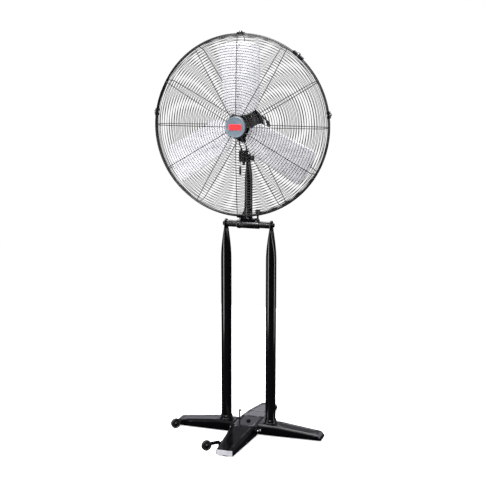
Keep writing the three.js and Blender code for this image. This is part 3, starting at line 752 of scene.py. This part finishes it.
def build_posts():
    for side, sign in (("left", -1), ("right", 1)):
        x = sign * POST_X
        shape = pinched_tube(side + "_post", x, 25.4 * MM, 4.5 * MM, 26 * MM, 866 * MM, 1026 * MM)
        piece(side + "_post_tube", [shape], "black_paint", "stand", [side + "_post"], crease=40)

        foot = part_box(side + "_post_flange")[0].z
        profile = mm((25.7, 0), (35, 0), (35, 5), (30.5, 5.4), along=foot)
        profile += mm((29.8, 8), (29.6, 18.5), (28.4, 20), (25.7, 20), along=foot)
        flange = lathe(profile, "z", (x, 0, 0), 56, hollow=True, round_by=0.5 * MM)
        piece(side + "_flange_ring", [flange], "black_paint", "stand", [side + "_post_flange"])
        screws = []
        for i in range(4):
            angle = math.pi / 4 + i * math.pi / 2
            spot = (x + 31 * MM * math.cos(angle), 31 * MM * math.sin(angle), 0)
            screws.append(hex_head(3.9 * MM, foot + 5 * MM, foot + 8.6 * MM, "z", spot))
        piece(side + "_flange_screws", screws, "black_paint", "stand", crease=28)

        face = sign * (POST_X + 4.8 * MM)
        spot = (0, 0, BAR_Z)
        bolt = [rod(14 * MM, face, face + sign * 2.5 * MM, "x", spot, 40)]
        bolt.append(hex_head(10.8 * MM, face + sign * 2.4 * MM, face + sign * 9.8 * MM, "x", spot))
        bolt.append(rod(6 * MM, face - sign * 30 * MM, face, "x", spot))
        piece(side + "_end_bolt", bolt, "black_paint", "stand", [side + "_bar_bolt"], crease=28)

    bar = extent("crossbar")
    half, radius = bar.x / 2, bar.z / 2
    shape = rod(radius, -half, half, "x", (0, 0, BAR_Z), 64, MM)
    piece("crossbar_tube", [shape], "black_paint", "stand", ["crossbar"], finish="rubbed_paint")


def build_neck():
    low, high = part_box("pivot_sleeve")
    left, right, radius = low.x, high.x, 20.5 * MM
    bore, collar, groove = 17.2 * MM, radius + 1.5 * MM, radius - MM
    profile = [(bore, left), (collar, left), (collar, left + 12 * MM), (groove, left + 12.4 * MM)]
    profile += [(groove, left + 14.6 * MM), (radius, left + 15 * MM), (radius, right), (bore, right)]
    sleeve = lathe(profile, "x", (0, 0, BAR_Z), 64, hollow=True, round_by=0.7 * MM)
    piece("sleeve_tube", [sleeve], "black_paint", "neck", ["pivot_sleeve"], finish="rubbed_paint")

    # The saddle is a block cut to the sleeve's curve. A gusset ties it to the tube, and a weld bead runs
    # round the tube's foot.
    low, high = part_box("neck_saddle")
    top = BAR_Z + 29.5 * MM
    seat = radius + 0.6 * MM
    saddle_half = high.y
    start = math.asin(saddle_half / seat)
    outline = [(-saddle_half, top), (saddle_half, top)]
    angles = [start * (1 - k / 6) for k in range(13)]
    outline += [(seat * math.sin(a), BAR_Z + seat * math.cos(a)) for a in angles]
    saddle = prism(outline, low.x, high.x, "x")
    tube_r = 18.5 * MM
    web_edge, web_top = -tube_r - 0.4 * MM, top + 44 * MM
    web = [(top, -38 * MM), (top, web_edge), (web_top, web_edge), (web_top, -tube_r - 3 * MM)]
    gusset = prism(web, -3 * MM, 3 * MM, "y")
    piece("saddle_block", [saddle, gusset], "black_paint", "neck", ["neck_saddle"], bevel=0.8 * MM)
    bead = hoop(tube_r + 0.8 * MM, 1.9 * MM, "z", (0, 0, top + 1.2 * MM), 56, 8)
    piece("neck_weld", [bead], "black_paint", "neck")

    neck = pinched_tube("neck_tube", 0, tube_r, 5.5 * MM, 22 * MM, 1245 * MM, 1345 * MM)
    piece("neck_pipe", [neck], "black_paint", "neck", ["neck_tube"], crease=40)

    spot = centre("clamp_stud")
    low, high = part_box("clamp_stud")
    thread = []
    pitch = 1.5 * MM
    z = low.z + 7 * MM
    while z < high.z - pitch:
        thread += [(4.3 * MM, z), (5 * MM, z + pitch / 2)]
        z += pitch
    foot = (spot.x, 0, 0)
    stud = [hex_head(8.5 * MM, low.z, low.z + 7 * MM, "z", foot), lathe(thread, "z", foot, 28)]
    piece("clamp_screw", stud, "black_paint", "neck", ["clamp_stud"], crease=60)
    low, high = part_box("clamp_knob")
    knob = lobed_knob(12 * MM, high.z - low.z)
    place = Matrix.Translation((spot.x, 0, low.z))
    piece("clamp_handknob", [moved(knob, place)], "black_plastic", "clamp_knob", ["clamp_knob"], crease=50)


def lobed_knob(radius, height):
    """A hand knob with round lobes and a domed top, standing on z = 0."""
    lobes, sides = 5, 70
    lower = ((0.55, 0), (0.60, 0.12), (0.97, 0.34), (1.0, 0.42))
    upper = ((1.0, 0.82), (0.95, 0.93), (0.78, 0.99), (0.3, 1.0))
    rings = []
    for share, z in lower + upper:
        ring = []
        for i in range(sides):
            angle = TAU * i / sides
            depth = 0.12 * min(1, max(0, (share - 0.6) / 0.3))
            r = radius * share * (1 - depth * (0.5 - 0.5 * math.cos(angle * lobes)))
            ring.append(Vector((r * math.cos(angle), r * math.sin(angle), z * height)))
        rings.append(ring)
    return skin(rings)


# ---------------------------------------------------------------- tilting head
def build_tilt_bracket():
    low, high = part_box("tilt_bracket")
    inner = -6.1 * MM
    outer = inner - 5 * MM
    half = 13 * MM
    cradle_z = 1446 * MM
    cheek_top = cradle_z + 13 * MM
    outline = [(half, cheek_top), (half, TILT_Z)]
    for k in range(1, 12):
        angle = math.pi * k / 12
        outline.append((half * math.cos(angle), TILT_Z - half * math.sin(angle)))
    outline += [(-half, TILT_Z), (-half, cheek_top)]
    cheek = prism(outline, outer, inner, "x")
    seat = 67.5 * MM
    wide = high.x
    edge = math.asin(wide / seat)
    angles = [edge * (1 - k / 8) for k in range(17)]
    arc = [(HUB.z - seat * math.cos(a), seat * math.sin(a)) for a in angles]
    cradle = prism([(cradle_z, -wide), (cradle_z, wide), *arc], low.y, high.y, "y")
    rib_outline = [(cradle_z, inner), (cradle_z, inner + 26 * MM), (cradle_z - 34 * MM, inner)]
    rib = prism(rib_outline, -3 * MM, 3 * MM, "y")
    piece("head_bracket", [cheek, cradle, rib], "black_paint", "head", ["tilt_bracket"], bevel=0.7 * MM)

    spot = (0, 0, TILT_Z)
    bolt = [hex_head(9 * MM, outer - 0.3 * MM, outer - 6.3 * MM, "x", spot)]
    bolt.append(rod(5 * MM, outer, 20 * MM, "x", spot))
    piece("tilt_pin", bolt, "zinc_steel", "head", ["tilt_bolt"], crease=28)
    low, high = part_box("tilt_knob")
    knob = lobed_knob(13 * MM, high.x - low.x)
    place = Matrix.Translation((low.x, 0, TILT_Z)) @ Matrix.Rotation(math.pi / 2, 4, "Y")
    piece("tilt_handknob", [moved(knob, place)], "black_plastic", "tilt_knob", ["tilt_knob"], crease=50)


def build_motor():
    front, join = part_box("motor_front_bell")[0].y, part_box("motor_front_bell")[1].y
    bell = mm((9.2, 0), (20, 0), (23, 2), (40, 2.6), (44, 0), (62, 0), (68.5, 4), (70, 9), along=front)
    bell += mm((70, 0), (30, 0), (9.2, 0), along=join)
    bell_shape = lathe(bell, "y", HUB, 72, hollow=True, round_by=1.2 * MM)
    piece("front_end_bell", [bell_shape], "motor_paint", "head", ["motor_front_bell"])
    vents = []
    for i in range(10):
        rib = block((28 * MM, front - 0.4 * MM, -1.6 * MM), (60 * MM, front + 3 * MM, 1.6 * MM))
        vents.append(moved(turned_about(rib, "y", TAU * (i + 0.5) / 10), Matrix.Translation(HUB)))
    piece("front_bell_ribs", vents, "motor_paint", "head", bevel=0.5 * MM)

    low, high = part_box("motor_case")
    fins = 36
    ring = []
    for i in range(fins):
        for share, r in ((0.0, 61.5), (0.42, 61.5), (0.54, 67.0), (0.88, 67.0)):
            angle = TAU * (i + share) / fins
            ring.append((r * MM * math.cos(angle), r * MM * math.sin(angle)))
    case = moved(prism(ring, low.y, high.y, "y"), Matrix.Translation(HUB))
    piece("finned_case", [case], "motor_paint", "head", ["motor_case"], bevel=0.4 * MM)
    band_places = [HUB + Vector((0, y, 0)) for y in (low.y + 3 * MM, high.y - 3 * MM)]
    bands = [hoop(63.6 * MM, 2.2 * MM, "y", place, 80, 10) for place in band_places]
    piece("case_bands", bands, "motor_paint", "head")

    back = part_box("motor_rear_bell")[1].y
    rear = mm((4, 0), (16, -0.4), (20, -1.6), (34, -1.2), (40, -1), along=back)
    rear += mm((55, -9), (62.5, -15.5), (66, -22), (66, -25.6), (30, -25.6), along=back)
    rear = lathe(rear, "y", HUB, 72, round_by=1.5 * MM)
    piece("rear_end_bell", [rear], "motor_paint", "head", ["motor_rear_bell"])
    ribs = []
    for i in range(16):
        path = [(0, back - 1.0 * MM, 40 * MM), (0, back - 8.2 * MM, 54 * MM), (0, back - 15 * MM, 62 * MM)]
        rib = turned_about(tube(path, 1.3 * MM, 8), "y", TAU * i / 16)
        ribs.append(moved(rib, Matrix.Translation(HUB)))
    piece("rear_bell_ribs", ribs, "motor_paint", "head")
    ties = []
    for i in range(4):
        angle = math.pi / 4 + i * math.pi / 2
        spot = HUB + Vector((math.sin(angle), 0, math.cos(angle))) * 59 * MM
        ties.append(hex_head(4 * MM, back - 14 * MM, back - 8.6 * MM, "y", spot))
        ties.append(hex_head(4 * MM, front + 2 * MM, front - 1.6 * MM, "y", spot))
    piece("tie_bolts", ties, "zinc_steel", "head", crease=28)

    # The bent handle, its grip and the strap that screws it to the rear bell.
    points = [(34, 29.3, 34), (58, 33, 36), (76, 33, 20), (93, 32, -9)]
    path = smooth_path([HUB + Vector(p) * MM for p in points], 10)
    handle = tube(path, 4.5 * MM, 18)
    strap = block((14 * MM, back + 0.3 * MM, HUB.z + 12 * MM), (42 * MM, back + 8 * MM, HUB.z + 40 * MM))
    bent = [handle, strap]
    piece("tilt_handle_rod", bent, "black_paint", "head", ["tilt_handle"], crease=40, bevel=0.8 * MM)
    grip = tube(path[-9:], 7.5 * MM, 24)
    tip = lathe(mm((7.4, -1.5), (7.2, 0.5), (5.5, 2), (1.5, 2.6)), "z", sides=24)
    facing = (path[-1] - path[-2]).to_track_quat("Z", "Y").to_matrix().to_4x4()
    piece("tilt_handle_grip", [grip, moved(tip, Matrix.Translation(path[-1]) @ facing)], "rubber", "head")
    screws = []
    for x, z in ((20, 18), (20, 34), (36, 18)):
        spot = HUB + Vector((x, 0, z)) * MM
        screws.append(hex_head(3.6 * MM, back + 8 * MM, back + 11 * MM, "y", spot))
    piece("handle_screws", screws, "zinc_steel", "head", crease=28)


# ---------------------------------------------------------------- rotor
BLADE_ROOT, ROOT_BOW, BLADE_TIP = 50 * MM, 36 * MM, 383 * MM
HALF_ROOT, HALF_TIP, LEAN = 78 * MM, 92 * MM, 12 * MM
BLADE_Y, BLADE_RISE, CAMBER, BLADE_SHEET = -132 * MM, 18 * MM, 9 * MM, 2 * MM


def blade_depth(x, share):
    """Where a blade's back lies along the shaft, at x across its arm and a share of the way to its tip."""
    across = (x - LEAN) / (HALF_ROOT + (HALF_TIP - HALF_ROOT) * share)
    return BLADE_Y + BLADE_RISE * across - CAMBER * (1 - across * across)


def blade_sheet():
    """The middle surface of a blade that stands up from the hub, with its outer corners rounded off."""
    rows, columns = 30, 24
    points, faces = [], []
    for i in range(rows + 1):
        share = i / rows
        for j in range(columns + 1):
            across = 2 * j / columns - 1
            x = LEAN + (HALF_ROOT + (HALF_TIP - HALF_ROOT) * share) * across
            corner = max(0, abs(across) - 0.84) / 0.16
            trim = 9 * MM * (1 - math.sqrt(max(0, 1 - corner * corner)))
            start = BLADE_ROOT + ROOT_BOW * across * across + trim
            end = math.sqrt(BLADE_TIP**2 - x * x) - trim
            y = blade_depth(x, share) - BLADE_SHEET / 2
            points.append(Vector((x, y, start + (end - start) * share)))
    for i in range(rows):
        for j in range(columns):
            a = i * (columns + 1) + j
            faces.append((a, a + 1, a + columns + 2, a + columns + 1))
    return points, faces


def build_rotor():
    # Each blade stands on a pressed arm behind it, held by three rivets.
    slope = (blade_depth(MM, 0) - blade_depth(-MM, 0)) / (2 * MM)
    hub_front, hub_back = -156 * MM, -120 * MM
    arm_y = blade_depth(0, 0) + 3.6 * MM
    arms, rivets = [], []
    for b in range(BLADES):
        spin = Matrix.Translation(HUB) @ Matrix.Rotation(ROTOR_REST + TAU * b / BLADES, 4, "Y")
        sheet = moved(blade_sheet(), spin)
        node, slot = f"blade_{b + 1}", "blade_aluminium"
        made = piece(node + "_sheet", [sheet], slot, "rotor", [node], crease=60, shell=BLADE_SHEET)
        made.modifiers["sheet"].offset = 0
        soften(made, 0.6 * MM, 50)

        lean = spin @ Matrix.Translation((0, arm_y, 0)) @ Matrix.Rotation(math.atan(slope), 4, "Z")
        outline = mm((17, -19), (100, -19), (140, -17), (150, -11), (154, 0))
        outline += mm((150, 11), (140, 17), (100, 19), (17, 19))
        plate = prism(outline, -2.5 * MM, 2.5 * MM, "y")
        spine = prism(mm((17, -4), (126, -2.5), (126, 2.5), (17, 4)), 2.4 * MM, 7 * MM, "y")
        arms += [moved(plate, lean), moved(spine, lean)]
        for z, x in ((88, -11), (88, 11), (138, 0)):
            front = -arm_y + blade_depth(x * MM, 0.15) - BLADE_SHEET - slope * x * MM
            spot = (x * MM, 0, z * MM)
            rivets.append(moved(rod(3.6 * MM, 0, front - 1.6 * MM, "y", spot, 20, 1.2 * MM), lean))
            rivets.append(moved(rod(3.4 * MM, 0, 4.4 * MM, "y", spot, 20, 0.9 * MM), lean))
    boss = mm((8.4, 0), (20, 0), (25, 5), along=hub_front)
    boss += mm((25, -5), (20, 0), (8.4, 0), along=hub_back)
    arms.append(lathe(boss, "y", HUB, 48, hollow=True, round_by=0.8 * MM))
    piece("spider_arms", arms, "black_paint", "rotor", ["blade_spider"], bevel=0.6 * MM)
    piece("blade_rivets", rivets, "zinc_steel", "rotor")

    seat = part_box("hub_nut")[1].y
    nut = mm((3, -24), (7.5, -23.4), (10.5, -20), (12, -17), (13, -16), along=seat)
    nut = lathe(nut, "y", HUB, 40, round_by=0.5 * MM)
    flats = mm((14.5, -16), (15.5, -15), (15.5, -2), (16.8, -1.2), (16.8, 0), along=seat)
    flats = lathe(flats, "y", HUB, 6)
    piece("lock_nut", [nut, flats], "zinc_steel", "rotor", ["hub_nut"], crease=28)
    for node in ("rotor_shaft", "rotor_core", "front_bearing", "rear_bearing"):
        dress(node, "zinc_steel", 0.4 * MM)
    dress("stator_core", "stator_iron", 0.4 * MM)


# ---------------------------------------------------------------- guards
KNEE_R = 404 * MM
RIM_Y = -117 * MM
RING_PITCH = 12.1 * MM
RING_WIRE = 1.25 * MM
SPOKE_WIRE = 1.75 * MM
RIM_WIRE = 4.1 * MM
RIM_SPACE = 4.5 * MM


def build_cage_half(name, direction, inner_r, inner_out, node):
    knee_out = 53 * MM

    def dish(r):
        share = (r - inner_r) / (KNEE_R - inner_r)
        return RIM_Y + direction * (inner_out + (knee_out - inner_out) * share * share)

    rim_y = RIM_Y + direction * RIM_SPACE
    lift = direction * (SPOKE_WIRE + RING_WIRE) * 0.85
    rings = []
    count = math.floor((KNEE_R - inner_r - 4 * MM) / RING_PITCH)
    for k in range(count + 1):
        r = KNEE_R - k * RING_PITCH
        rings.append(hoop(r, RING_WIRE, "y", HUB + Vector((0, dish(r) + lift, 0)), 112, 6))
    # Three more rings run up the cage's side wall, between the knee and the rim.
    for share in (0.27, 0.52, 0.77):
        r = KNEE_R + (RIM_R - 2 * MM - KNEE_R) * share
        y = dish(KNEE_R) + (rim_y - dish(KNEE_R)) * share
        rings.append(hoop(r + 2 * MM, RING_WIRE, "y", HUB + Vector((0, y, 0)), 112, 6))
    piece(name + "_rings", rings, "guard_wire", "head", [node], crease=80)

    spokes = []
    for i in range(SPOKES):
        angle = TAU * i / SPOKES
        outward = Vector((math.sin(angle), 0, math.cos(angle)))
        radii = [inner_r - 3 * MM + (KNEE_R - 6 * MM - inner_r + 3 * MM) * k / 10 for k in range(11)]
        path = [HUB + outward * r + Vector((0, dish(max(r, inner_r)), 0)) for r in radii]
        knee_y = dish(KNEE_R)
        bend = [(KNEE_R - 2 * MM, knee_y - direction * 0.4 * MM), (KNEE_R + MM, knee_y - direction * 3 * MM)]
        wall = [((KNEE_R + RIM_R) / 2, (knee_y + rim_y) / 2), (RIM_R, rim_y)]
        for r, y in bend + wall:
            path.append(HUB + outward * r + Vector((0, y, 0)))
        spokes.append(tube(path, SPOKE_WIRE, 10))
    piece(name + "_spokes", spokes, "guard_wire", "head", crease=80)
    rim = hoop(RIM_R, RIM_WIRE, "y", HUB + Vector((0, rim_y, 0)), 180, 16)
    piece(name + "_rim", [rim], "guard_wire", "head", crease=80)


def build_guards():
    plate_y = -194 * MM
    build_cage_half("front_cage", -1, 48 * MM, RIM_Y - plate_y - 3 * MM, "front_guard")
    plate = mm((12, 0), (46, 0), (50, 1.4), (50, 3.4), (44, 4.4), (12, 4.4), along=plate_y + 0.4 * MM)
    piece("front_cage_plate", [lathe(plate, "y", HUB, 64, hollow=True)], "guard_wire", "head")

    clasp_y = -34 * MM
    build_cage_half("rear_cage", 1, 84 * MM, clasp_y - RIM_Y, "rear_guard")
    clasp = mm((67.9, -3), (84, -3), (85, -2), (85, 2), (84, 3), (67.9, 3), along=clasp_y)
    clasp = lathe(clasp, "y", HUB, 80, hollow=True)
    piece("rear_cage_clasp", [clasp], "guard_wire", "head", bevel=0.4 * MM)
    lugs, screws = [], []
    for i in range(4):
        angle = math.pi / 4 + i * math.pi / 2
        spot = HUB + Vector((math.sin(angle), 0, math.cos(angle))) * 76 * MM
        lugs.append(rod(6.5 * MM, -31.2 * MM, -27 * MM, "y", spot, 28))
        screws.append(hex_head(4.2 * MM, -27.2 * MM, -23.4 * MM, "y", spot))
    piece("rear_cage_lugs", lugs, "motor_paint", "head")
    piece("rear_cage_screws", screws, "zinc_steel", "head", crease=28)

    # The badge is a shallow pan with a rolled edge, and a plain label stuck on it.
    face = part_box("badge_disc")[0].y
    pan = mm((4, 0.9), (38, 0.9), (42.5, 0.5), (44.5, 0), (46.6, 0.2), along=face)
    pan += mm((48, 1.6), (48, 3.6), (46, 4.6), (4, 4.6), along=face)
    pan = lathe(pan, "y", HUB, 80)
    piece("badge_pan", [pan], "badge_paint", "head", ["badge_disc"], crease=40)
    low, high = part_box("badge_label")
    wide, tall = high.x, high.z - HUB.z
    outline = rounded([(-tall, -wide), (tall, -wide), (tall, wide), (-tall, wide)], 3.5 * MM, steps=5)
    label = moved(prism(outline, low.y, face + 1.1 * MM, "y"), Matrix.Translation(HUB))
    piece("badge_film", [label], "label_red", "head", ["badge_label"], bevel=0.25 * MM)


def build_clips():
    for node, degrees, spare in (
        ("guard_clip_top", 0, 0),
        ("guard_clip_right", 82, 0),
        ("guard_clip_bottom", 180, 0),
        ("guard_clip_left", 278, 0),
        ("guard_latch", 40, 1),
    ):
        dress(node, "black_paint", 0.5 * MM)
        place = Matrix.Translation(HUB) @ Matrix.Rotation(math.radians(degrees), 4, "Y")
        high = (419 + 4.2 + 0.6 + spare + 5) * MM
        screw = [rod(2.4 * MM, RIM_Y - 8.6 * MM, RIM_Y + 9.5 * MM, "y", (0, 0, high), 20)]
        screw.append(rod(3.6 * MM, RIM_Y - 9.8 * MM, RIM_Y - 6 * MM, "y", (0, 0, high), 28, 1.2 * MM))
        screw.append(hex_head(3.6 * MM, RIM_Y + 6 * MM, RIM_Y + 9 * MM, "y", (0, 0, high)))
        name = node.replace("guard_", "") + "_screw"
        piece(name, [moved(s, place) for s in screw], "zinc_steel", "head", crease=28)


# ---------------------------------------------------------------- switch
def build_switch():
    low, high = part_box("switch_box")
    right = -17 * MM
    body = block((low.x, low.y, low.z), (right, high.y, high.z))
    tongue_low = (right - MM, low.y + 2 * MM, low.z + 34 * MM)
    tongue = block(tongue_low, (-11.4 * MM, high.y - 2 * MM, low.z + 38 * MM))
    piece("switch_housing", [body, tongue], "black_plastic", "head", ["switch_box"], bevel=1.6 * MM)
    seam_low = (low.x - 0.1 * MM, low.y - 0.5 * MM, high.z - 13 * MM)
    seam_high = (right + 0.1 * MM, high.y + 0.5 * MM, high.z - 11.6 * MM)
    piece("switch_seam", [block(seam_low, seam_high)], "rubber", "head", bevel=0.3 * MM)
    screws = []
    for x in (low.x + 5 * MM, right - 5 * MM):
        screws.append(rod(2.4 * MM, low.y - 0.9 * MM, low.y + MM, "y", (x, 0, high.z - 6 * MM), 20))
    piece("switch_screws", screws, "zinc_steel", "head")
    dress("run_capacitor", "blade_aluminium", 0.4 * MM)

    low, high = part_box("cord_gland")
    x, y = (low.x + high.x) / 2, (low.y + high.y) / 2
    top = high.z
    gland = [hex_head(8.4 * MM, top - 5.6 * MM, top, "z", (x, y, 0))]
    profile = mm((4.3, -18), (5.6, -18), (6.4, -15), (6.4, -5.4), (4.3, -5.4), along=top)
    gland.append(lathe(profile, "z", (x, y, 0), 36, hollow=True, round_by=0.4 * MM))
    piece("gland_nut", gland, "black_plastic", "head", ["cord_gland"], crease=28)

    box_left, box_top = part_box("switch_box")[0].x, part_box("switch_box")[1].z
    lead = smooth_path(
        [
            Vector((box_left + dx * MM, 0, box_top + dz * MM))
            for dx, dz in ((8, -0.5), (7, 12), (-2, 30), (-3, 48), (-1, 59.5))
        ],
        8,
    )
    sleeve = mm((5.4, 0), (5.4, 4), (4.2, 9), (3.4, 10))
    sleeve = lathe(sleeve, "z", (box_left + 8 * MM, 0, box_top), 28)
    piece("motor_cable", [tube(lead, 3.2 * MM, 16), sleeve], "rubber", "head", ["motor_lead"], crease=50)

    # A bead chain leaves a metal eyelet, and a turned grip hangs on it.
    low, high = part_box("pull_grip")
    x, y = (low.x + high.x) / 2, (low.y + high.y) / 2
    beads = []
    z = high.z - 0.5 * MM
    exit_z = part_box("switch_box")[0].z
    while z < exit_z + 3 * MM:
        ball = mm((0.35, -1.25), (0.95, -0.85), (1.25, 0), (0.95, 0.85), (0.35, 1.25), along=z)
        beads.append(lathe(ball, "z", (x, y, 0), 14))
        z += 3.0 * MM
    beads.append(rod(0.4 * MM, high.z - MM, exit_z + 3 * MM, "z", (x, y, 0), 8))
    piece("bead_chain", beads, "zinc_steel", "pull", ["pull_chain"], crease=70)
    grip = mm((0.8, 0), (3.5, 0.6), (5.6, 4), (4.2, 10), (6, 15), (4.2, 21), along=low.z)
    grip += mm((6, 26), (4.2, 32), (5.6, 37), (3, 42), (1.2, 42.3), along=low.z)
    grip = lathe(grip, "z", (x, y, 0), 40, round_by=1.6 * MM)
    piece("chain_grip", [grip], "black_plastic", "pull", ["pull_grip"], crease=60)
    eyelet = mm((1.7, -1.6), (3.8, -1.6), (4.4, 0.6), (1.7, 0.6))
    eyelet = lathe(eyelet, "z", (x, y, exit_z), 28, hollow=True, round_by=0.4 * MM)
    piece("chain_eyelet", [eyelet], "zinc_steel", "head")


build_studio()
build_base()
build_wheels()
build_posts()
build_neck()
build_tilt_bracket()
build_motor()
build_rotor()
build_guards()
build_clips()
build_switch()
